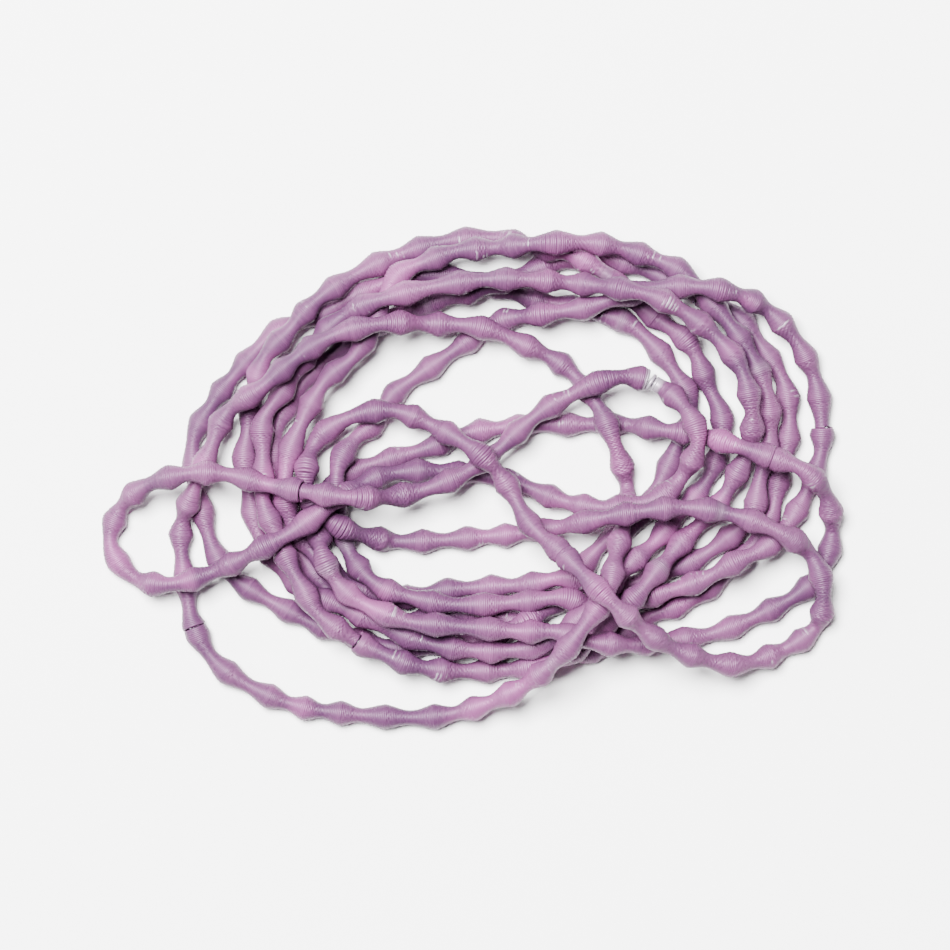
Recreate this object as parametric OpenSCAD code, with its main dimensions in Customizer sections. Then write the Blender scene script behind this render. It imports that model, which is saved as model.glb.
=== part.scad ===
// Ten endless loops of slim close-wound wire coil, lying together in a loose pile.
// Each loop is one limp coil whose two ends are joined by a short straight pin.
// The pile lies on z = 0, with the origin under its middle.

/* [Coil] */
// Mean outer diameter of a coil, in mm
coil_d = 3.2; // [2.8:0.1:3.4]
// Number of flat sides round a coil
coil_sides = 8; // [8:1:10]
// Height from one strand to the next one lying on it, in mm
layer_h = 3.5; // [3.4:0.1:4]

/* [Joining pin] */
// Diameter of the pin that joins the two ends of a coil, in mm
pin_d = 1.6; // [1:0.1:2.4]
// Gap between the two ends of a coil, bridged by the pin, in mm
pin_len = 1.2; // [0.8:0.1:2]

/* [Colours] */
// Colour of the coils
coil_colour = "Plum"; // [Plum, Orchid, MediumPurple, Silver]
// Colour of the joining pins
pin_colour = "Silver"; // [Silver, LightGrey, Grey]

/* [Hidden] */
coil_r = coil_d / 2;
pin_fn = 32;

// Each route is a closed ring of [x, y, layer]: x and y in mm, and how many strands
// lie under the coil there. The first point is the middle of the joining pin.

// Upper arm and lower arm on the left, then the small loop right of the middle
route_1 = [
    [-25, -1.5, 2.5], [-30.5, -0.5, 2], [-36.5, 1, 2], [-42.5, 1, 2], [-49, -1, 1], [-53, -5, 0],
    [-54, -10, 0], [-50.5, -14.5, 0], [-45, -15.5, 1], [-38, -13.5, 1], [-31, -10, 2], [-25.5, -7, 2],
    [-20, -3, 2], [-14, 0.5, 1], [-7, 1.5, 0.5], [0, 1, 0], [6, 0, 0], [14, -3, 0.5], [20, -4, 1.2],
    [24, -3.5, 1.4], [28.5, -2.5, 1.2], [32, 1, 1], [34, 5.5, 2], [33, 9.5, 2], [29.5, 13.5, 1],
    [25, 15.5, 1], [20, 15, 1.5], [13.5, 12, 1], [9, 9, 1], [4, 4.5, 1], [-2, 0.5, 1.5],
    [-9.5, -2, 1.5], [-17, -2.5, 3]
];
// Small arc left of the middle, along the right, and the diagonal across the bottom right
route_2 = [
    [14, -11, 3], [9, -6.5, 2], [5.5, -0.5, 1.5], [1.5, 4, 2], [-5, 8, 1], [-11.5, 10.5, 1],
    [-18, 9.5, 1], [-23, 6, 0.5], [-24.5, 1, 1.5], [-23.5, -3.5, 1], [-19, -7, 1.3], [-12, -9, 0],
    [-5, -9, 0], [1, -8.5, 0], [7, -8, 0], [13, -7, 0.8], [20, -5.5, 2.1], [26, -4.5, 2.4],
    [32, -4, 2.2], [39, -5, 2], [46, -7.5, 2], [51, -11, 1], [53, -16.5, 1], [52, -22, 0],
    [47, -25.5, 0], [40, -27.5, 1], [33, -26, 2], [27, -23, 3], [20, -17, 4.2]
];
// Left and bottom outside, then up through the middle right and across the top
route_3 = [
    [-41.5, -22, 0], [-38, -27.5, 0], [-32, -31.5, 0], [-25.5, -34, 0], [-19, -35, 0],
    [-12.5, -35.5, 0], [-5.5, -35.5, 0], [1, -34, 0.5], [7.5, -31, 1.5], [13, -26.5, 2.8],
    [17, -21.5, 3.2], [20.5, -16.5, 3.2], [21.5, -12, 2.4], [22.5, -8.5, 1.3], [23.5, -4, 0.5],
    [23.5, 0, 0], [21.5, 6, 1], [19, 11.5, 0.7], [14.5, 17, 0], [8, 20.5, 0.5], [1.5, 23, 1],
    [-5.5, 23.5, 1], [-12.5, 23.5, 2], [-19.5, 22, 2], [-25, 19, 2], [-31, 14, 2], [-36.5, 10, 1],
    [-39, 4.5, 1], [-41.5, -1.5, 1], [-43.5, -8, 0], [-42.5, -17, 0]
];
// Level strand through the middle, right end, and the top strand of the bottom band
route_4 = [
    [45, 3.5, 2], [50, 1.5, 2], [53.5, -2.5, 1], [54.5, -8, 0], [53, -13.5, 0], [49.5, -17, 0],
    [43, -20.5, 0], [36.5, -23, 0], [30, -24, 0.5], [24, -24.5, 1.5], [18, -24, 2], [13, -22.5, 2],
    [8, -22.5, 2], [2, -22, 2], [-4, -21.5, 2], [-9, -21, 2], [-14.5, -19, 2], [-19, -16, 2],
    [-22, -11, 2], [-22.5, -6.5, 0.2], [-21.5, -1, 0], [-17.5, 1.5, 0], [-13, 3, 0], [-6, 5, 0],
    [-1, 7, 0], [5, 8, 0], [11.5, 8.5, 0], [17, 8.5, 0], [23, 8.5, 0], [29.5, 7.5, 1], [34, 7, 1],
    [39, 5.5, 2]
];
// Right outside, bottom band, and the diagonal up to the top right
route_5 = [
    [53, 8, 0], [52.5, 3, 0], [49.5, -4, 0], [45, -9.5, 1], [40, -12, 1.5], [34.5, -15, 1],
    [28, -17, 1], [23, -18.5, 0.5], [18, -18.5, 0.8], [14, -17.5, 1.2], [9, -18, 1], [3, -18.5, 1],
    [-3, -18.5, 1], [-8.5, -17.5, 1], [-14, -15.5, 1], [-18, -11, 0.5], [-19.5, -5, 0.3],
    [-20, -1, 1.2], [-19.5, 3, 1], [-17, 6.5, 0.5], [-14, 9, 0], [-11.5, 13, 0], [-6, 17, 0],
    [-1, 20.5, 0], [4.5, 24, 0], [11, 25, 1], [17.5, 26, 1], [24, 28, 1.4], [30, 29, 1.8],
    [37.5, 28.5, 2], [44, 26, 1], [49, 21, 0.5], [52, 15, 0]
];
// Right inner side, top band, left inner side and the bottom band
route_6 = [
    [-17, -24, 1], [-14, -25.5, 1], [-9, -27.5, 1], [-3, -28.5, 0.5], [4, -28.5, 0], [9, -28, 0.5],
    [15, -26, 0.8], [20, -21.5, 1.3], [24.5, -17.5, 2], [28, -13.5, 1.5], [32.5, -8.5, 0.5],
    [37, -4, 0.5], [40.5, 2, 1], [42, 6, 1], [42, 11, 2], [40, 17.5, 2], [35, 23, 2], [28.5, 27, 2.5],
    [23, 28.5, 2.5], [16, 29.5, 1.5], [9, 30, 2], [2, 30, 2], [-5, 29, 2], [-11.5, 27.5, 2],
    [-16.5, 26, 1.5], [-21, 23, 1], [-25, 18, 1], [-28, 13.5, 1], [-31, 9, 1], [-31, 4, 1],
    [-31, -3, 1], [-29, -8, 1], [-27, -12.5, 1.5], [-25, -16, 1.5], [-22.5, -20, 1.5]
];
// Left side, top outside, right inner side and the bottom band
route_7 = [
    [20.5, -16, 2], [16.5, -20.5, 1.5], [11, -24.5, 1], [4, -25.5, 1], [-3, -25, 1], [-9, -23.5, 1],
    [-14.5, -21, 1], [-20, -18.5, 1], [-24.5, -16.5, 0.5], [-29, -12.5, 0], [-32, -7.5, 0],
    [-33, -2.5, 0], [-34, 3, 0], [-33.5, 7, 0], [-33, 11, 0], [-31, 18, 0.8], [-27.5, 22, 1],
    [-23, 27, 1], [-17, 31, 0.5], [-10.5, 34, 0], [-3.5, 36, 0], [4, 36.5, 0], [10, 35, 0.5],
    [15, 34, 1], [20.5, 31, 0.8], [24, 27.5, 0], [28, 24.5, 0], [33, 20.5, 0.5], [36, 14, 0],
    [38, 9, 0], [37, 3, 0], [35, -1, 0], [31.5, -5, 0], [28, -9, 0.5], [24, -12.5, 1.3]
];
// Lowest loop, flat on the surface all round
route_8 = [
    [3, 29.5, 0], [9, 27.5, 0], [14, 26.5, 0], [20, 25, 0], [24, 23.5, 0], [28, 20, 0], [31, 16, 0],
    [33, 12.5, 0], [33, 8.5, 0], [31, 5, 0], [30, 2.5, 0], [28, -1.5, 0], [25.5, -6, 0], [20.5, -9, 0],
    [17, -13, 0], [13.5, -18, 0], [7.5, -21.5, 1], [1, -24, 0], [-5, -25, 0], [-12, -25, 0],
    [-21, -22.5, 0], [-27.5, -19.5, 0], [-35, -15, 0], [-38.5, -10.5, 0], [-40.5, -3.5, 0],
    [-41.5, 1.5, 0], [-41.5, 6.5, 0], [-38.5, 12, 0], [-34, 17.5, 0], [-29, 22.5, 0], [-22.5, 25, 0],
    [-17, 28, 0], [-10, 30.5, 0], [-3, 31, 0]
];
// Top outside, right side, bottom band and the left inner side
route_9 = [
    [-14.5, 23, 1], [-13, 27, 1], [-10.5, 31, 1], [-6, 33, 1], [-1.5, 34.5, 1], [4.5, 35, 1],
    [11.5, 35.5, 2], [19, 35.5, 1.5], [25.5, 34, 1], [31.5, 31.5, 1], [35, 28, 1], [38.5, 24, 1],
    [42, 19, 1], [44.5, 13, 1], [45, 6, 0.5], [43.5, 0, 0.5], [42, -5.5, 0.5], [35.5, -11, 0],
    [29, -14, 0], [23.5, -15.5, 0], [18, -15, 1], [14, -14.5, 1], [9, -15.5, 0.5], [2.5, -16, 0],
    [-4, -16.5, 0], [-9.5, -17.5, 0], [-15, -17, 0], [-20, -14, 0.5], [-25.5, -8.5, 0.6],
    [-27.5, -3, 1], [-27.5, 2, 1], [-26, 7, 1], [-22, 14.5, 1], [-17.5, 18.5, 1]
];
// Lowest strand of the right, the left and the bottom band
route_10 = [
    [34.5, 28, 0], [40, 25, 0], [44, 20, 0], [47.5, 14, 0], [48, 7, 0], [46.5, 0, 0], [45, -6, 0],
    [40.5, -12, 0], [34, -17.5, 0], [27, -20.5, 0], [21.5, -24, 0], [16, -26, 0], [10, -23.5, 0],
    [5, -20.5, 0], [-1, -20, 0], [-5, -20.5, 0], [-9.5, -21, 0], [-15, -20.5, 0], [-20, -17.5, 0],
    [-24.5, -12.5, 0], [-28.5, -6, 0], [-29.5, 0, 0], [-29.5, 4, 0], [-29, 8, 0], [-27, 12, 0],
    [-22.5, 17.5, 0], [-16.5, 22, 0], [-10, 25.5, 0], [-3, 27.5, 0.5], [4, 29.5, 1], [12, 32.5, 0],
    [20, 33.5, 0], [27, 31.5, 0]
];

// Routes in the order of the loops
routes = [route_1, route_2, route_3, route_4, route_5,
    route_6, route_7, route_8, route_9, route_10];

// Centre of a coil at one route point: layer 0 rests on z = 0
function centre(p) = [p[0], p[1], coil_r + layer_h * p[2]];

// Route point i, counted round the closed ring
function at(route, i) = centre(route[(i + len(route)) % len(route)]);

function unit(v) = v / norm(v);

// Direction of the coil at route point i, from the point before to the point after
function heading(route, i) = unit(at(route, i + 1) - at(route, i - 1));

// Centre of one end of the coil: side is 1 where it starts and -1 where it stops
function coil_end(route, side) = at(route, 0) + side * pin_len / 2 * heading(route, 0);

// One ring of points round centre c, square to direction d, never below z = 0
function ring(c, d) = let (
        across = unit(cross(d, [0, 0, 1])),
        up = cross(across, d)
    ) [for (k = [0 : coil_sides - 1])
        let (a = 360 * (k + 0.5) / coil_sides, p = c + coil_r * (cos(a) * across + sin(a) * up))
        [p[0], p[1], max(p[2], 0)]];

// All rings of a coil, from the end on one side of the pin round to the other
function coil_rings(route) = [
    ring(coil_end(route, 1), heading(route, 0)),
    for (i = [1 : len(route) - 1]) ring(at(route, i), heading(route, i)),
    ring(coil_end(route, -1), heading(route, 0))];

// Closed tube through a list of rings, with flat ends
module tube(rings) {
    n = coil_sides;
    last = (len(rings) - 1) * n;
    points = [for (r = rings) for (p = r) p];
    sides = [for (i = [0 : len(rings) - 2]) for (k = [0 : n - 1])
        let (a = i * n + k, b = i * n + (k + 1) % n)
        for (face = [[a, b, b + n], [a, b + n, a + n]]) face];
    start = [[for (k = [n - 1 : -1 : 0]) k]];
    stop = [[for (k = [0 : n - 1]) last + k]];
    polyhedron(points = points, faces = concat(sides, start, stop), convexity = 10);
}

// Coil number i, a single wire wound turn on turn and drawn as a tube
module coil(i) {
    color(coil_colour) tube(coil_rings(routes[i - 1]));
}

// Joining pin number i, lying along the coil between its two ends
module joining_pin(i) {
    route = routes[i - 1];
    d = heading(route, 0);
    color(pin_colour)
        translate(at(route, 0))
            rotate([0, acos(d[2]), atan2(d[1], d[0])])
                cylinder(d = pin_d, h = pin_len, center = true, $fn = pin_fn);
}

module loop_1() { coil(1); }
module loop_2() { coil(2); }
module loop_3() { coil(3); }
module loop_4() { coil(4); }
module loop_5() { coil(5); }
module loop_6() { coil(6); }
module loop_7() { coil(7); }
module loop_8() { coil(8); }
module loop_9() { coil(9); }
module loop_10() { coil(10); }
module pin_1() { joining_pin(1); }
module pin_2() { joining_pin(2); }
module pin_3() { joining_pin(3); }
module pin_4() { joining_pin(4); }
module pin_5() { joining_pin(5); }
module pin_6() { joining_pin(6); }
module pin_7() { joining_pin(7); }
module pin_8() { joining_pin(8); }
module pin_9() { joining_pin(9); }
module pin_10() { joining_pin(10); }

loop_1();
loop_2();
loop_3();
loop_4();
loop_5();
loop_6();
loop_7();
loop_8();
loop_9();
loop_10();
pin_1();
pin_2();
pin_3();
pin_4();
pin_5();
pin_6();
pin_7();
pin_8();
pin_9();
pin_10();
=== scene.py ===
"""Looks of a loose pile of limp endless wire coils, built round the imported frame.

Every length is in metres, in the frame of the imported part. Each coil is one fine lacquered
wire wound turn on turn along its route, and its two ends meet at a small steel pin.
"""

import logging
import math
from dataclasses import dataclass
from enum import Enum

import bpy
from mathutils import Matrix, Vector

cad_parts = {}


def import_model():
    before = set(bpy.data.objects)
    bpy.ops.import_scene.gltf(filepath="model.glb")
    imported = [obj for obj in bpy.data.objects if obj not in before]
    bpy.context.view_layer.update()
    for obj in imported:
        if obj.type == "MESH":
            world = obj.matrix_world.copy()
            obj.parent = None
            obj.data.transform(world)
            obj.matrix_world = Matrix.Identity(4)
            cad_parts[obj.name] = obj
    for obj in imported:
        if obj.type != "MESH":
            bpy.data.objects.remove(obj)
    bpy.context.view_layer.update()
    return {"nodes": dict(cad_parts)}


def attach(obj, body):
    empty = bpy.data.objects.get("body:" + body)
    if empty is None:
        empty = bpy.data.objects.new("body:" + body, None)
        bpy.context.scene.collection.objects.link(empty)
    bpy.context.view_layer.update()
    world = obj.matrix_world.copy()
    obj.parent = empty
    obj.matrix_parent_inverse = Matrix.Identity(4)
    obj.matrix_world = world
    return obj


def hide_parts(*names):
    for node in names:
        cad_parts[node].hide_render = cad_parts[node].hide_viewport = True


LOG = logging.getLogger("pile")
MM = 0.001
FULL_TURN = 2 * math.pi
BODY = "root"

# One closed route a coil, as (x, y, layer): x and y in metres, and how many strands lie
# under the coil there. The first point is the middle of the joining pin.
ROUTES: tuple[tuple[tuple[float, float, float], ...], ...] = (
    ((-0.025, -0.0015, 2.5), (-0.0305, -0.0005, 2), (-0.0365, 0.001, 2), (-0.0425, 0.001, 2),
     (-0.049, -0.001, 1), (-0.053, -0.005, 0), (-0.054, -0.01, 0), (-0.0505, -0.0145, 0),
     (-0.045, -0.0155, 1), (-0.038, -0.0135, 1), (-0.031, -0.01, 2), (-0.0255, -0.007, 2),
     (-0.02, -0.003, 2), (-0.014, 0.0005, 1), (-0.007, 0.0015, 0.5), (0, 0.001, 0), (0.006, 0, 0),
     (0.014, -0.003, 0.5), (0.02, -0.004, 1.2), (0.024, -0.0035, 1.4), (0.0285, -0.0025, 1.2),
     (0.032, 0.001, 1), (0.034, 0.0055, 2), (0.033, 0.0095, 2), (0.0295, 0.0135, 1),
     (0.025, 0.0155, 1), (0.02, 0.015, 1.5), (0.0135, 0.012, 1), (0.009, 0.009, 1),
     (0.004, 0.0045, 1), (-0.002, 0.0005, 1.5), (-0.0095, -0.002, 1.5), (-0.017, -0.0025, 3)),
    ((0.014, -0.011, 3), (0.009, -0.0065, 2), (0.0055, -0.0005, 1.5), (0.0015, 0.004, 2),
     (-0.005, 0.008, 1), (-0.0115, 0.0105, 1), (-0.018, 0.0095, 1), (-0.023, 0.006, 0.5),
     (-0.0245, 0.001, 1.5), (-0.0235, -0.0035, 1), (-0.019, -0.007, 1.3), (-0.012, -0.009, 0),
     (-0.005, -0.009, 0), (0.001, -0.0085, 0), (0.007, -0.008, 0), (0.013, -0.007, 0.8),
     (0.02, -0.0055, 2.1), (0.026, -0.0045, 2.4), (0.032, -0.004, 2.2), (0.039, -0.005, 2),
     (0.046, -0.0075, 2), (0.051, -0.011, 1), (0.053, -0.0165, 1), (0.052, -0.022, 0),
     (0.047, -0.0255, 0), (0.04, -0.0275, 1), (0.033, -0.026, 2), (0.027, -0.023, 3),
     (0.02, -0.017, 4.2)),
    ((-0.0415, -0.022, 0), (-0.038, -0.0275, 0), (-0.032, -0.0315, 0), (-0.0255, -0.034, 0),
     (-0.019, -0.035, 0), (-0.0125, -0.0355, 0), (-0.0055, -0.0355, 0), (0.001, -0.034, 0.5),
     (0.0075, -0.031, 1.5), (0.013, -0.0265, 2.8), (0.017, -0.0215, 3.2), (0.0205, -0.0165, 3.2),
     (0.0215, -0.012, 2.4), (0.0225, -0.0085, 1.3), (0.0235, -0.004, 0.5), (0.0235, 0, 0),
     (0.0215, 0.006, 1), (0.019, 0.0115, 0.7), (0.0145, 0.017, 0), (0.008, 0.0205, 0.5),
     (0.0015, 0.023, 1), (-0.0055, 0.0235, 1), (-0.0125, 0.0235, 2), (-0.0195, 0.022, 2),
     (-0.025, 0.019, 2), (-0.031, 0.014, 2), (-0.0365, 0.01, 1), (-0.039, 0.0045, 1),
     (-0.0415, -0.0015, 1), (-0.0435, -0.008, 0), (-0.0425, -0.017, 0)),
    ((0.045, 0.0035, 2), (0.05, 0.0015, 2), (0.0535, -0.0025, 1), (0.0545, -0.008, 0),
     (0.053, -0.0135, 0), (0.0495, -0.017, 0), (0.043, -0.0205, 0), (0.0365, -0.023, 0),
     (0.03, -0.024, 0.5), (0.024, -0.0245, 1.5), (0.018, -0.024, 2), (0.013, -0.0225, 2),
     (0.008, -0.0225, 2), (0.002, -0.022, 2), (-0.004, -0.0215, 2), (-0.009, -0.021, 2),
     (-0.0145, -0.019, 2), (-0.019, -0.016, 2), (-0.022, -0.011, 2), (-0.0225, -0.0065, 0.2),
     (-0.0215, -0.001, 0), (-0.0175, 0.0015, 0), (-0.013, 0.003, 0), (-0.006, 0.005, 0),
     (-0.001, 0.007, 0), (0.005, 0.008, 0), (0.0115, 0.0085, 0), (0.017, 0.0085, 0),
     (0.023, 0.0085, 0), (0.0295, 0.0075, 1), (0.034, 0.007, 1), (0.039, 0.0055, 2)),
    ((0.053, 0.008, 0), (0.0525, 0.003, 0), (0.0495, -0.004, 0), (0.045, -0.0095, 1),
     (0.04, -0.012, 1.5), (0.0345, -0.015, 1), (0.028, -0.017, 1), (0.023, -0.0185, 0.5),
     (0.018, -0.0185, 0.8), (0.014, -0.0175, 1.2), (0.009, -0.018, 1), (0.003, -0.0185, 1),
     (-0.003, -0.0185, 1), (-0.0085, -0.0175, 1), (-0.014, -0.0155, 1), (-0.018, -0.011, 0.5),
     (-0.0195, -0.005, 0.3), (-0.02, -0.001, 1.2), (-0.0195, 0.003, 1), (-0.017, 0.0065, 0.5),
     (-0.014, 0.009, 0), (-0.0115, 0.013, 0), (-0.006, 0.017, 0), (-0.001, 0.0205, 0),
     (0.0045, 0.024, 0), (0.011, 0.025, 1), (0.0175, 0.026, 1), (0.024, 0.028, 1.4),
     (0.03, 0.029, 1.8), (0.0375, 0.0285, 2), (0.044, 0.026, 1), (0.049, 0.021, 0.5),
     (0.052, 0.015, 0)),
    ((-0.017, -0.024, 1), (-0.014, -0.0255, 1), (-0.009, -0.0275, 1), (-0.003, -0.0285, 0.5),
     (0.004, -0.0285, 0), (0.009, -0.028, 0.5), (0.015, -0.026, 0.8), (0.02, -0.0215, 1.3),
     (0.0245, -0.0175, 2), (0.028, -0.0135, 1.5), (0.0325, -0.0085, 0.5), (0.037, -0.004, 0.5),
     (0.0405, 0.002, 1), (0.042, 0.006, 1), (0.042, 0.011, 2), (0.04, 0.0175, 2),
     (0.035, 0.023, 2), (0.0285, 0.027, 2.5), (0.023, 0.0285, 2.5), (0.016, 0.0295, 1.5),
     (0.009, 0.03, 2), (0.002, 0.03, 2), (-0.005, 0.029, 2), (-0.0115, 0.0275, 2),
     (-0.0165, 0.026, 1.5), (-0.021, 0.023, 1), (-0.025, 0.018, 1), (-0.028, 0.0135, 1),
     (-0.031, 0.009, 1), (-0.031, 0.004, 1), (-0.031, -0.003, 1), (-0.029, -0.008, 1),
     (-0.027, -0.0125, 1.5), (-0.025, -0.016, 1.5), (-0.0225, -0.02, 1.5)),
    ((0.0205, -0.016, 2), (0.0165, -0.0205, 1.5), (0.011, -0.0245, 1), (0.004, -0.0255, 1),
     (-0.003, -0.025, 1), (-0.009, -0.0235, 1), (-0.0145, -0.021, 1), (-0.02, -0.0185, 1),
     (-0.0245, -0.0165, 0.5), (-0.029, -0.0125, 0), (-0.032, -0.0075, 0), (-0.033, -0.0025, 0),
     (-0.034, 0.003, 0), (-0.0335, 0.007, 0), (-0.033, 0.011, 0), (-0.031, 0.018, 0.8),
     (-0.0275, 0.022, 1), (-0.023, 0.027, 1), (-0.017, 0.031, 0.5), (-0.0105, 0.034, 0),
     (-0.0035, 0.036, 0), (0.004, 0.0365, 0), (0.01, 0.035, 0.5), (0.015, 0.034, 1),
     (0.0205, 0.031, 0.8), (0.024, 0.0275, 0), (0.028, 0.0245, 0), (0.033, 0.0205, 0.5),
     (0.036, 0.014, 0), (0.038, 0.009, 0), (0.037, 0.003, 0), (0.035, -0.001, 0),
     (0.0315, -0.005, 0), (0.028, -0.009, 0.5), (0.024, -0.0125, 1.3)),
    ((0.003, 0.0295, 0), (0.009, 0.0275, 0), (0.014, 0.0265, 0), (0.02, 0.025, 0),
     (0.024, 0.0235, 0), (0.028, 0.02, 0), (0.031, 0.016, 0), (0.033, 0.0125, 0),
     (0.033, 0.0085, 0), (0.031, 0.005, 0), (0.03, 0.0025, 0), (0.028, -0.0015, 0),
     (0.0255, -0.006, 0), (0.0205, -0.009, 0), (0.017, -0.013, 0), (0.0135, -0.018, 0),
     (0.0075, -0.0215, 1), (0.001, -0.024, 0), (-0.005, -0.025, 0), (-0.012, -0.025, 0),
     (-0.021, -0.0225, 0), (-0.0275, -0.0195, 0), (-0.035, -0.015, 0), (-0.0385, -0.0105, 0),
     (-0.0405, -0.0035, 0), (-0.0415, 0.0015, 0), (-0.0415, 0.0065, 0), (-0.0385, 0.012, 0),
     (-0.034, 0.0175, 0), (-0.029, 0.0225, 0), (-0.0225, 0.025, 0), (-0.017, 0.028, 0),
     (-0.01, 0.0305, 0), (-0.003, 0.031, 0)),
    ((-0.0145, 0.023, 1), (-0.013, 0.027, 1), (-0.0105, 0.031, 1), (-0.006, 0.033, 1),
     (-0.0015, 0.0345, 1), (0.0045, 0.035, 1), (0.0115, 0.0355, 2), (0.019, 0.0355, 1.5),
     (0.0255, 0.034, 1), (0.0315, 0.0315, 1), (0.035, 0.028, 1), (0.0385, 0.024, 1),
     (0.042, 0.019, 1), (0.0445, 0.013, 1), (0.045, 0.006, 0.5), (0.0435, 0, 0.5),
     (0.042, -0.0055, 0.5), (0.0355, -0.011, 0), (0.029, -0.014, 0), (0.0235, -0.0155, 0),
     (0.018, -0.015, 1), (0.014, -0.0145, 1), (0.009, -0.0155, 0.5), (0.0025, -0.016, 0),
     (-0.004, -0.0165, 0), (-0.0095, -0.0175, 0), (-0.015, -0.017, 0), (-0.02, -0.014, 0.5),
     (-0.0255, -0.0085, 0.6), (-0.0275, -0.003, 1), (-0.0275, 0.002, 1), (-0.026, 0.007, 1),
     (-0.022, 0.0145, 1), (-0.0175, 0.0185, 1)),
    ((0.0345, 0.028, 0), (0.04, 0.025, 0), (0.044, 0.02, 0), (0.0475, 0.014, 0), (0.048, 0.007, 0),
     (0.0465, 0, 0), (0.045, -0.006, 0), (0.0405, -0.012, 0), (0.034, -0.0175, 0),
     (0.027, -0.0205, 0), (0.0215, -0.024, 0), (0.016, -0.026, 0), (0.01, -0.0235, 0),
     (0.005, -0.0205, 0), (-0.001, -0.02, 0), (-0.005, -0.0205, 0), (-0.0095, -0.021, 0),
     (-0.015, -0.0205, 0), (-0.02, -0.0175, 0), (-0.0245, -0.0125, 0), (-0.0285, -0.006, 0),
     (-0.0295, 0, 0), (-0.0295, 0.004, 0), (-0.029, 0.008, 0), (-0.027, 0.012, 0),
     (-0.0225, 0.0175, 0), (-0.0165, 0.022, 0), (-0.01, 0.0255, 0), (-0.003, 0.0275, 0.5),
     (0.004, 0.0295, 1), (0.012, 0.0325, 0), (0.02, 0.0335, 0), (0.027, 0.0315, 0)),
)


class Slot(Enum):
    """The record's material slots."""

    LACQUER = "coil_lacquer"
    STEEL = "pin_steel"


class Socket:
    """An output socket that adds Math nodes when it is used in an expression."""

    def __init__(self, graph: "Graph", socket: bpy.types.NodeSocket) -> None:
        """Keeps the socket and the graph that it belongs to."""
        self.graph = graph
        self.socket = socket

    def _maths(self, operation: str, *terms: object) -> "Socket":
        """Adds one Math node and returns its result."""
        return self.graph.add("ShaderNodeMath", {"operation": operation}, dict(enumerate(terms)))

    def __add__(self, other: object) -> "Socket":
        """self + other."""
        return self._maths("ADD", self, other)

    def __radd__(self, other: object) -> "Socket":
        """other + self."""
        return self._maths("ADD", other, self)

    def __sub__(self, other: object) -> "Socket":
        """self - other."""
        return self._maths("SUBTRACT", self, other)

    def __rsub__(self, other: object) -> "Socket":
        """other - self."""
        return self._maths("SUBTRACT", other, self)

    def __mul__(self, other: object) -> "Socket":
        """self * other."""
        return self._maths("MULTIPLY", self, other)

    def __rmul__(self, other: object) -> "Socket":
        """other * self."""
        return self._maths("MULTIPLY", other, self)

    def __abs__(self) -> "Socket":
        """The distance of self from 0."""
        return self._maths("ABSOLUTE", self)

    def cosine(self) -> "Socket":
        """The cosine of an angle in radians."""
        return self._maths("COSINE", self)

    def sine(self) -> "Socket":
        """The sine of an angle in radians."""
        return self._maths("SINE", self)

    def at_least(self, floor: object) -> "Socket":
        """The larger of self and floor."""
        return self._maths("MAXIMUM", self, floor)


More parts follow.
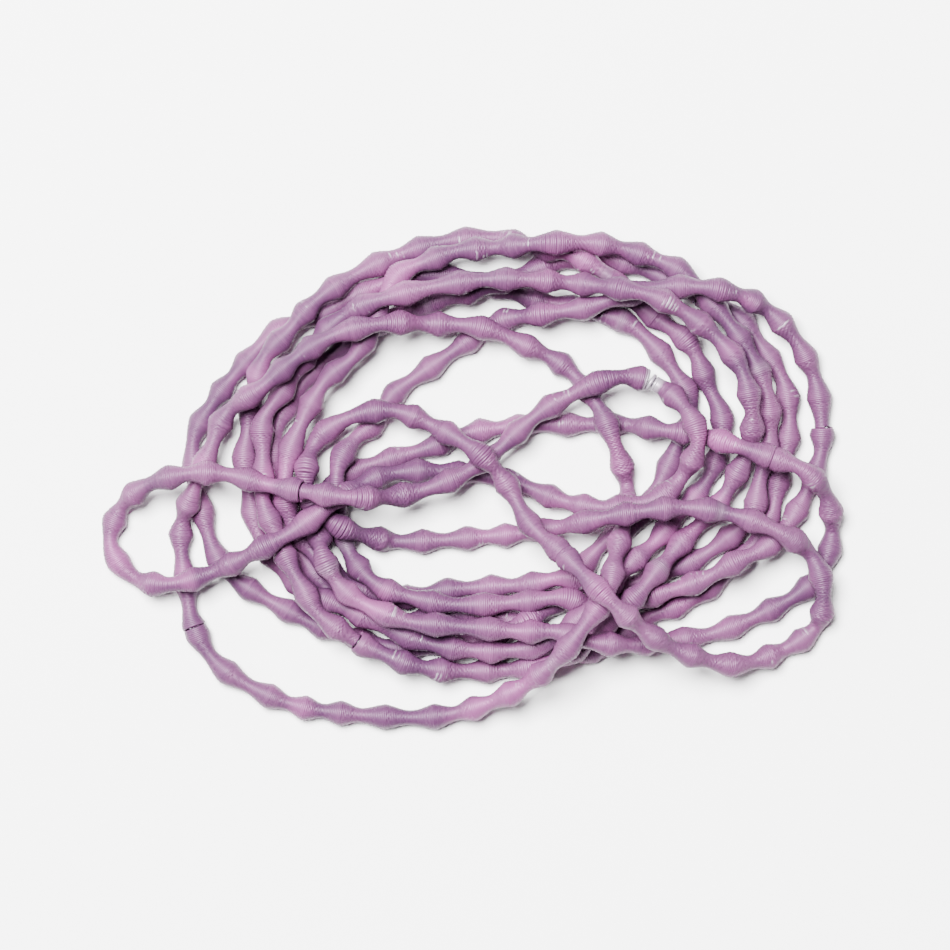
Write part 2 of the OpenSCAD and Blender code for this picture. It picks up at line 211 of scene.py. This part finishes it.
class Graph:
    """A shader or geometry node tree, with one method that adds any node."""

    # A Mix node has a set of sockets for each kind of data; these are the colour ones
    MIX_FIRST = 6
    MIX_SECOND = 7
    MIX_RESULT = 2

    def __init__(self, tree: bpy.types.NodeTree) -> None:
        """Starts on a tree with no nodes of its own.

        Args:
            tree: The node tree to fill.
        """
        self.tree = tree
        self.tree.nodes.clear()

    def node(
        self, kind: str, settings: dict[str, object] | None = None, values: dict | None = None
    ) -> bpy.types.Node:
        """Adds a node.

        Args:
            kind: The node's type name.
            settings: Properties of the node, set before its sockets.
            values: Input sockets by name or number, each a value or a Socket to link.

        Returns:
            The new node.
        """
        made = self.tree.nodes.new(kind)
        for name, value in (settings or {}).items():
            setattr(made, name, value)
        for key, value in (values or {}).items():
            target = made.inputs[key]
            if isinstance(value, Socket):
                self.tree.links.new(value.socket, target)
            else:
                target.default_value = value
        return made

    def add(
        self,
        kind: str,
        settings: dict[str, object] | None = None,
        values: dict | None = None,
        output: str | int = 0,
    ) -> Socket:
        """Adds a node and returns one of its outputs.

        Args:
            kind: The node's type name.
            settings: Properties of the node, set before its sockets.
            values: Input sockets by name or number, each a value or a Socket to link.
            output: The output's name or number.

        Returns:
            That output, ready for an expression.
        """
        return Socket(self, self.node(kind, settings, values).outputs[output])

    def vector(self, operation: str, first: object, second: object = (0, 0, 0)) -> Socket:
        """A Vector Math node's result on two vectors."""
        values = {0: first, 1: second}
        return self.add("ShaderNodeVectorMath", {"operation": operation}, values)

    def scaled(self, direction: Socket, amount: object) -> Socket:
        """A vector times a number."""
        values = {0: direction, "Scale": amount}
        return self.add("ShaderNodeVectorMath", {"operation": "SCALE"}, values)

    def noise(self, along: Socket, scale: float, detail: float = 1.0) -> Socket:
        """Smooth noise from 0 to 1 along one number."""
        settings = {"noise_dimensions": "1D"}
        values = {"W": along, "Scale": scale, "Detail": detail}
        return self.add("ShaderNodeTexNoise", settings, values)

    def cloud(self, place: Socket, scale: float) -> Socket:
        """Smooth noise from 0 to 1 through space."""
        return self.add("ShaderNodeTexNoise", None, {"Vector": place, "Scale": scale})

    def rise(self, value: Socket, low: float, high: float) -> Socket:
        """0 up to low, 1 from high, and smooth between."""
        return self.ramp(value, (low, high), (0.0, 1.0))

    def ramp(
        self, value: Socket, span: tuple[object, object], ends: tuple[object, object]
    ) -> Socket:
        """A smooth change from one level to another.

        Args:
            value: What the change depends on.
            span: Where the change starts and where it is complete.
            ends: The levels before and after it.

        Returns:
            The level at that value.
        """
        values = {
            "Value": value,
            "From Min": span[0],
            "From Max": span[1],
            "To Min": ends[0],
            "To Max": ends[1],
        }
        return self.add("ShaderNodeMapRange", {"interpolation_type": "SMOOTHSTEP"}, values)

    def blend(self, share: object, first: object, second: object) -> Socket:
        """A colour between first and second.

        Args:
            share: 0 for the first colour, 1 for the second.
            first: A colour or a Socket.
            second: A colour or a Socket.

        Returns:
            The mixed colour.
        """
        values = {"Factor": share, self.MIX_FIRST: first, self.MIX_SECOND: second}
        return self.add("ShaderNodeMix", {"data_type": "RGBA"}, values, self.MIX_RESULT)


@dataclass(frozen=True)
class Lacquer:
    """Violet lacquer on fine wire, bare where the turns stand open, with painted highlights on the
    wave crests, in pink patches and as glint streaks here and there.
    """

    light: tuple[float, float, float, float] = (0.122, 0.038, 0.103, 1)
    deep: tuple[float, float, float, float] = (0.060, 0.019, 0.058, 1)
    # Painted pink highlight: a brighter pink laid on in patches at random places, standing in for
    # pink highlights
    pink_highlight: tuple[float, float, float, float] = (0.230, 0.058, 0.180, 1)
    bare: tuple[float, float, float, float] = (0.52, 0.48, 0.54, 1)
    # Patches of tone, of painted pink highlight and of painted glint streaks: how fine they are
    # and how sharply they end
    tone_scale: float = 70.0
    tone_edge: tuple[float, float] = (0.36, 0.64)
    pink_highlight_scale: float = 91.0
    pink_highlight_edge: tuple[float, float] = (0.55, 0.75)
    # Painted glints: streaks along single turns, in small patches, take the bare-wire colour where
    # light would glint on the wire
    glint_scale: float = 280.0
    glint_edge: tuple[float, float] = (0.65, 0.72)
    glint_turns_edge: tuple[float, float] = (0.58, 0.70)
    # Shares from 0 to 1
    tone_by_turn: float = 0.15
    most_pink_highlight: float = 0.6
    most_glint: float = 0.35
    # How much lighter the wave crests are: a painted highlight on the tops of the bulges
    crest_painted_highlight: float = 0.2
    metallic: float = 0.2
    bare_metallic: float = 0.4
    roughness: float = 0.5
    roughness_by_turn: float = 0.2
    bare_polish: float = 0.12
    gloss: float = 0.35

    def build(self) -> bpy.types.Material:
        """Makes the material.

        Returns:
            A material that reads the coil's own attributes and Object coordinates.
        """
        material = bpy.data.materials.new("violet_lacquer")
        material.use_nodes = True
        graph = Graph(material.node_tree)
        place = graph.add("ShaderNodeTexCoord", output="Object")
        turn = self._attribute(graph, "turn")
        crest = self._attribute(graph, "crest")
        opened = self._attribute(graph, "opened")
        each_turn = graph.noise(turn, 1.0, 0.0)
        patches = graph.cloud(place, self.tone_scale)
        tone = patches * (1 - self.tone_by_turn) + each_turn * self.tone_by_turn
        tone = graph.rise(tone, *self.tone_edge)
        # Painted pink highlights, in patches at random places
        pink_highlit = graph.rise(graph.cloud(place, self.pink_highlight_scale), *self.pink_highlight_edge)
        # Painted glints: bare-wire colour on single turns in small patches, standing in for glints
        # of light
        glint_streaks = graph.rise(graph.cloud(place, self.glint_scale), *self.glint_edge)
        glint_streaks = glint_streaks * graph.rise(each_turn, *self.glint_turns_edge)
        # Bare wire where the turns stand open, together with the painted glint streaks
        bareness_and_glint = opened.at_least(glint_streaks * self.most_glint)
        paint = graph.blend(tone, self.deep, self.light)
        # Painted highlight: the crests of the waves are made lighter, as bulge tops that catch the
        # light
        paint = graph.blend(crest * self.crest_painted_highlight, paint, self.light)
        paint = graph.blend(pink_highlit * self.most_pink_highlight, paint, self.pink_highlight)
        roughness = self.roughness + (each_turn - 0.5) * self.roughness_by_turn
        shader = graph.add(
            "ShaderNodeBsdfPrincipled",
            None,
            {
                "Base Color": graph.blend(bareness_and_glint, paint, self.bare),
                "Metallic": self.metallic + bareness_and_glint * self.bare_metallic,
                "Roughness": roughness - bareness_and_glint * self.bare_polish,
                "Specular IOR Level": self.gloss,
            },
        )
        graph.node("ShaderNodeOutputMaterial", None, {"Surface": shader})
        return material

    @staticmethod
    def _attribute(graph: Graph, name: str) -> Socket:
        """A number that the winding stored on the coil."""
        return graph.add("ShaderNodeAttribute", {"attribute_name": name}, None, "Fac")


@dataclass(frozen=True)
class Steel:
    """Plain bright wire, as the joining pins are."""

    dull: tuple[float, float, float, float] = (0.3, 0.28, 0.31, 1)
    bright: tuple[float, float, float, float] = (0.55, 0.52, 0.57, 1)
    grain_scale: float = 900.0
    smoothest: float = 0.25
    roughness_by_grain: float = 0.25

    def build(self) -> bpy.types.Material:
        """Makes the material."""
        material = bpy.data.materials.new("pin_steel")
        material.use_nodes = True
        graph = Graph(material.node_tree)
        place = graph.add("ShaderNodeTexCoord", output="Object")
        grain = graph.cloud(place, self.grain_scale)
        shader = graph.add(
            "ShaderNodeBsdfPrincipled",
            None,
            {
                "Base Color": graph.blend(grain, self.dull, self.bright),
                "Metallic": 1.0,
                "Roughness": self.smoothest + grain * self.roughness_by_grain,
            },
        )
        graph.node("ShaderNodeOutputMaterial", None, {"Surface": shader})
        return material


@dataclass(frozen=True)
class Winding:
    """The Geometry Nodes tree that winds a fine wire along a route.

    The wander, the swell and the slack are smooth noise along the route: how much each may
    be, and how many times it changes from one end of the route to the other.
    """

    wire_radius: float = 0.28 * MM
    widest: float = 1.72 * MM
    slimmest: float = 0.90 * MM
    points_a_turn: int = 10
    wire_sides: int = 6
    wander: float = 0.7
    wander_changes: float = 9.0
    swell: float = 0.3
    swell_changes: float = 40.0
    slack: float = 0.5
    slack_changes: float = 60.0
    crest_slack: float = 0.35
    bareness_a_turn: float = 0.12

    INPUTS = (
        ("Points", "NodeSocketInt"),
        ("Turns", "NodeSocketFloat"),
        ("Waves", "NodeSocketFloat"),
        ("Wire radius", "NodeSocketFloat"),
        ("Widest", "NodeSocketFloat"),
        ("Slimmest", "NodeSocketFloat"),
        ("Wire sides", "NodeSocketInt"),
        ("Seed", "NodeSocketFloat"),
        ("Open place", "NodeSocketFloat"),
        ("Open length", "NodeSocketFloat"),
        ("Open turns", "NodeSocketFloat"),
        ("Finish", "NodeSocketMaterial"),
    )
    # Added to the seed, so that the three noises of a coil differ
    SLACK_SEED = 2.0
    SWELL_SEED = 5.0

    def build(self) -> bpy.types.NodeTree:
        """Makes the tree, with a named input for each size.

        Returns:
            The node tree, which a Nodes modifier on a curve takes.
        """
        tree = bpy.data.node_groups.new("wire_winding", "GeometryNodeTree")
        face = tree.interface
        face.new_socket("Geometry", in_out="INPUT", socket_type="NodeSocketGeometry")
        for name, kind in self.INPUTS:
            face.new_socket(name, in_out="INPUT", socket_type=kind)
        face.new_socket("Geometry", in_out="OUTPUT", socket_type="NodeSocketGeometry")
        graph = Graph(tree)
        given = graph.node("NodeGroupInput")
        size = {name: Socket(graph, given.outputs[name]) for name, _ in self.INPUTS}
        line = graph.add(
            "GeometryNodeResampleCurve",
            {"mode": "COUNT"},
            {"Curve": Socket(graph, given.outputs["Geometry"]), "Count": size["Points"]},
        )
        share = graph.add("GeometryNodeSplineParameter", output="Factor")
        opened = self._opened(graph, share, size)
        swing = self._swing(graph, share, size)
        wave = self._wave(swing)
        radius = self._radius(graph, share, wave, size)
        turn = self._turn(graph, share, swing, size)
        placed = self._wound(graph, line, turn, radius, size)
        for name, value in (("turn", turn), ("crest", wave), ("opened", opened)):
            placed = graph.add(
                "GeometryNodeStoreNamedAttribute",
                {"data_type": "FLOAT", "domain": "POINT"},
                {"Geometry": placed, "Name": name, "Value": value},
            )
        graph.node("NodeGroupOutput", None, {"Geometry": self._wire(graph, placed, size)})
        return tree

    def _opened(self, graph: Graph, share: Socket, size: dict[str, Socket]) -> Socket:
        """How bare the wire is where the turns stand open, falling to 0 beside that place."""
        distance = abs(share - size["Open place"])
        most = size["Open turns"] * self.bareness_a_turn
        return graph.ramp(distance, (0.0, size["Open length"]), (most, 0.0))

    def _swing(self, graph: Graph, share: Socket, size: dict[str, Socket]) -> Socket:
        """The waves as an angle, a little uneven: a slim place at 0, a crest at half a turn."""
        wander = graph.noise(share + size["Seed"], self.wander_changes) * self.wander
        return (size["Waves"] * share + wander) * FULL_TURN

    @staticmethod
    def _wave(swing: Socket) -> Socket:
        """0 at a slim place and 1 at a crest, which is more pointed than the slim place."""
        pointed = 1.0 - abs((swing * 0.5).cosine())
        rounded = 0.5 - swing.cosine() * 0.5
        return pointed * 0.5 + rounded * 0.5

    def _radius(
        self, graph: Graph, share: Socket, wave: Socket, size: dict[str, Socket]
    ) -> Socket:
        """The wire's distance from the route, with some crests higher than others."""
        noise = graph.noise(share + size["Seed"] + self.SWELL_SEED, self.swell_changes)
        swell = noise * self.swell + (1 - self.swell / 2)
        return size["Slimmest"] + (size["Widest"] - size["Slimmest"]) * wave * swell

    def _turn(
        self, graph: Graph, share: Socket, swing: Socket, size: dict[str, Socket]
    ) -> Socket:
        """Turns before a place: they lie further apart at crests and where the coil is open."""
        place = size["Open place"]
        reach = size["Open length"]
        lost = graph.ramp(share, (place - reach, place + reach), (0.0, size["Open turns"]))
        noise = graph.noise(share + size["Seed"] + self.SLACK_SEED, self.slack_changes)
        return size["Turns"] * share + swing.sine() * self.crest_slack - lost + noise * self.slack

    @staticmethod
    def _wound(
        graph: Graph, line: Socket, turn: Socket, radius: Socket, size: dict[str, Socket]
    ) -> Socket:
        """Moves each point of the line out to its place on the turns.

        Args:
            graph: The tree being built.
            line: The route, with a point at every step of the wire.
            turn: Turns before each point.
            radius: Distance of the wire from the route there.
            size: The tree's inputs.

        Returns:
            The wound wire as a curve, no part of which goes below the surface.
        """
        ahead = graph.add("GeometryNodeInputTangent")
        across = graph.vector("NORMALIZE", graph.vector("CROSS_PRODUCT", ahead, (0, 0, 1)))
        up = graph.vector("CROSS_PRODUCT", across, ahead)
        angle = turn * FULL_TURN
        sideways = graph.scaled(across, angle.cosine() * radius)
        upwards = graph.scaled(up, angle.sine() * radius)
        out = graph.vector("ADD", sideways, upwards)
        place = graph.vector("ADD", graph.add("GeometryNodeInputPosition"), out)
        parts = graph.node("ShaderNodeSeparateXYZ", None, {0: place})
        x, y, z = (Socket(graph, parts.outputs[axis]) for axis in "XYZ")
        rested = graph.add(
            "ShaderNodeCombineXYZ", None, {"X": x, "Y": y, "Z": z.at_least(size["Wire radius"])}
        )
        return graph.add("GeometryNodeSetPosition", None, {"Geometry": line, "Position": rested})

    @staticmethod
    def _wire(graph: Graph, placed: Socket, size: dict[str, Socket]) -> Socket:
        """The wound curve as a smooth round wire with closed ends, in its finish."""
        profile = graph.add(
            "GeometryNodeCurvePrimitiveCircle",
            {"mode": "RADIUS"},
            {"Resolution": size["Wire sides"], "Radius": size["Wire radius"]},
        )
        wire = graph.add(
            "GeometryNodeCurveToMesh",
            None,
            {"Curve": placed, "Profile Curve": profile, "Fill Caps": True},
        )
        smooth = graph.add("GeometryNodeSetShadeSmooth", None, {"Geometry": wire})
        real = graph.add("GeometryNodeRealizeInstances", None, {"Geometry": smooth})
        values = {"Geometry": real, "Material": size["Finish"]}
        return graph.add("GeometryNodeSetMaterial", None, values)


@dataclass(frozen=True)
class CoilLoop:
    """One endless loop: its route, its winding and its place in the record."""

    number: int
    route: tuple[tuple[float, float, float], ...]
    open_place: float
    open_turns: float
    coil_radius: float = 1.6 * MM
    layer_height: float = 3.5 * MM
    end_gap: float = 0.3 * MM
    turn_pitch: float = 0.25 * MM
    wave_length: float = 6.6 * MM
    open_length: float = 1.2 * MM
    seed_step: float = 7.0
    steps: int = 12

    @property
    def node(self) -> str:
        """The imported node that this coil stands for."""
        return f"loop_{self.number}"

    def centres(self) -> list[Vector]:
        """The route's points, with a layer turned into a height."""
        return [
            Vector((x, y, self.coil_radius + self.layer_height * layer))
            for x, y, layer in self.route
        ]

    def centreline(self) -> list[Vector]:
        """The smooth line through the route, from one end of the coil to the other.

        Returns:
            Points close together, none lower than a coil that lies on the surface.
        """
        points = self.centres()
        count = len(points)
        ahead = (points[1] - points[-1]).normalized() * (self.end_gap / 2)
        line = [points[0] + ahead]
        for i in range(count):
            before, start = points[i - 1], points[i]
            end, after = points[(i + 1) % count], points[(i + 2) % count]
            for step in range(self.steps):
                if i == 0 and step == 0:
                    continue
                place = self._between(before, start, end, after, step / self.steps)
                place.z = max(place.z, self.coil_radius)
                line.append(place)
        line.append(points[0] - ahead)
        return line

    @staticmethod
    def _between(before: Vector, start: Vector, end: Vector, after: Vector, t: float) -> Vector:
        """A point on the Catmull-Rom curve from start to end, at t from 0 to 1."""
        linear = (end - before) * t
        square = (2 * before - 5 * start + 4 * end - after) * t * t
        cube = (3 * start - before - 3 * end + after) * t * t * t
        return (2 * start + linear + square + cube) * 0.5

    def build(
        self, tree: bpy.types.NodeTree, winding: Winding, finish: bpy.types.Material
    ) -> bpy.types.Object:
        """Args:
            tree: The winding tree.
            winding: The sizes of the wire and the coil.
            finish: The lacquer.

        Returns:
            The finished coil as a mesh object.
        """
        line = self.centreline()
        length = sum((b - a).length for a, b in zip(line, line[1:]))
        turns = length / self.turn_pitch
        sizes = {
            "Points": int(turns * winding.points_a_turn),
            "Turns": turns,
            "Waves": length / self.wave_length,
            "Wire radius": winding.wire_radius,
            "Widest": winding.widest,
            "Slimmest": winding.slimmest,
            "Wire sides": winding.wire_sides,
            "Seed": self.number * self.seed_step,
            "Open place": self.open_place,
            "Open length": self.open_length / length,
            "Open turns": self.open_turns,
            "Finish": finish,
        }
        mesh = self._wound(line, tree, sizes)
        coil = bpy.data.objects.new(f"coil_{self.number}", mesh)
        bpy.context.scene.collection.objects.link(coil)
        self._declare(coil)
        LOG.info("coil %d: %.1f mm, %.0f turns", self.number, length / MM, turns)
        return coil

    def _wound(
        self, line: list[Vector], tree: bpy.types.NodeTree, sizes: dict[str, object]
    ) -> bpy.types.Mesh:
        """Runs the winding tree on a line.

        Args:
            line: The coil's centre line.
            tree: The winding tree.
            sizes: A value for each of the tree's named inputs.

        Returns:
            The wound wire as a plain mesh.
        """
        curve = bpy.data.curves.new(f"route_{self.number}", "CURVE")
        curve.dimensions = "3D"
        spline = curve.splines.new("POLY")
        spline.points.add(len(line) - 1)
        for point, place in zip(spline.points, line):
            point.co = (*place, 1)
        carrier = bpy.data.objects.new(f"carrier_{self.number}", curve)
        bpy.context.scene.collection.objects.link(carrier)
        modifier = carrier.modifiers.new("winding", "NODES")
        modifier.node_group = tree
        for item in tree.interface.items_tree:
            if item.in_out == "INPUT" and item.name in sizes:
                modifier[item.identifier] = sizes[item.name]
        bpy.context.view_layer.update()
        evaluated = carrier.evaluated_get(bpy.context.evaluated_depsgraph_get())
        mesh = bpy.data.meshes.new_from_object(evaluated)
        bpy.data.objects.remove(carrier)
        return mesh

    def _declare(self, coil: bpy.types.Object) -> None:
        """Puts the coil on its body and hides the imported node that it stands for."""
        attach(coil, BODY)
        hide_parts(self.node)


@dataclass(frozen=True)
class Lamp:
    """One soft square light, turned to the middle of the pile."""

    name: str
    place: tuple[float, float, float]
    side: float
    watts: float

    def build(self) -> None:
        """Hangs the light."""
        data = bpy.data.lights.new(self.name, "AREA")
        data.shape = "SQUARE"
        data.size = self.side
        data.energy = self.watts
        lamp = bpy.data.objects.new(self.name, data)
        lamp.location = self.place
        lamp.rotation_mode = "QUATERNION"
        lamp.rotation_quaternion = (-Vector(self.place)).to_track_quat("-Z", "Y")
        bpy.context.scene.collection.objects.link(lamp)


@dataclass(frozen=True)
class Studio:
    """The camera, the pale surface and the soft light."""

    aim: tuple[float, float, float] = (0.75 * MM, 0.9 * MM, 4 * MM)
    distance: float = 0.792
    lens: float = 200.0
    nearest_seen: float = 0.01
    furthest_seen: float = 20.0
    floor_side: float = 4.0
    floor_colour: tuple[float, float, float, float] = (0.95, 0.95, 0.95, 1)
    floor_roughness: float = 0.9
    glow_colour: tuple[float, float, float, float] = (1, 1, 1, 1)
    glow_strength: float = 0.08
    lamps: tuple[Lamp, ...] = (
        Lamp("overhead", (-0.24, 0.30, 1.05), 0.5, 98.0),
        Lamp("left", (-0.9, 0.2, 0.45), 0.3, 7.0),
        Lamp("right", (0.9, 0.2, 0.6), 0.4, 1.0),
    )

    def camera(self) -> None:
        """Makes the camera, looking straight down."""
        data = bpy.data.cameras.new("camera")
        data.lens = self.lens
        data.clip_start = self.nearest_seen
        data.clip_end = self.furthest_seen
        camera = bpy.data.objects.new("camera", data)
        x, y, z = self.aim
        camera.location = (x, y, z + self.distance)
        bpy.context.scene.collection.objects.link(camera)
        bpy.context.scene.camera = camera

    def floor(self) -> None:
        """Makes the plain pale surface that the pile lies on."""
        half = self.floor_side / 2
        outline = [(-half, -half, 0), (half, -half, 0), (half, half, 0), (-half, half, 0)]
        mesh = bpy.data.meshes.new("surface")
        mesh.from_pydata(outline, [], [range(len(outline))])
        floor = bpy.data.objects.new("surface", mesh)
        material = bpy.data.materials.new("surface_white")
        material.use_nodes = True
        graph = Graph(material.node_tree)
        values = {"Base Color": self.floor_colour, "Roughness": self.floor_roughness}
        shader = graph.add("ShaderNodeBsdfPrincipled", None, values)
        graph.node("ShaderNodeOutputMaterial", None, {"Surface": shader})
        mesh.materials.append(material)
        bpy.context.scene.collection.objects.link(floor)

    def lights(self) -> None:
        """Hangs the lamps and makes the pale surroundings."""
        for lamp in self.lamps:
            lamp.build()
        world = bpy.data.worlds.new("surroundings")
        world.use_nodes = True
        graph = Graph(world.node_tree)
        values = {"Color": self.glow_colour, "Strength": self.glow_strength}
        glow = graph.add("ShaderNodeBackground", None, values)
        graph.node("ShaderNodeOutputWorld", None, {"Surface": glow})
        bpy.context.scene.world = world


@dataclass
class Pile:
    """The ten coils and their joining pins."""

    nodes: dict[str, bpy.types.Object]

    # Where each coil's turns stand open, as a share of its length, and by how many turns
    OPENINGS = (
        (0.723, 5.5),
        (0.62, 0.6),
        (0.30, 0.5),
        (0.55, 0.5),
        (0.45, 0.6),
        (0.25, 0.5),
        (0.70, 0.5),
        (0.10, 0.5),
        (0.35, 0.5),
        (0.80, 0.5),
    )

    def coils(self) -> list[bpy.types.Object]:
        """Winds every coil along its route.

        Returns:
            The coils in the order of their numbers.
        """
        winding = Winding()
        tree = winding.build()
        finish = Lacquer().build()
        made = []
        for number, (route, opening) in enumerate(zip(ROUTES, self.OPENINGS), start=1):
            made.append(CoilLoop(number, route, *opening).build(tree, winding, finish))
        return made

    def pins(self) -> list[bpy.types.Object]:
        """Gives every joining pin its finish.

        Returns:
            The pins in the order of their coils' numbers.
        """
        finish = Steel().build()
        pins = [self.nodes[f"pin_{number}"] for number in range(1, len(ROUTES) + 1)]
        for pin in pins:
            pin.data.materials.clear()
            pin.data.materials.append(finish)
            LOG.info("pin: %s", pin.name)
        return pins


def main() -> None:
    """Builds the studio and the pile."""
    logging.basicConfig(level=logging.INFO, format="%(name)s: %(message)s")
    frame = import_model()
    studio = Studio()
    studio.camera()
    pile = Pile(frame["nodes"])
    coils = pile.coils()
    pins = pile.pins()
    LOG.info("pieces: %d", len(coils) + len(pins))
    studio.floor()
    studio.lights()


if __name__ == "__main__":
    main()
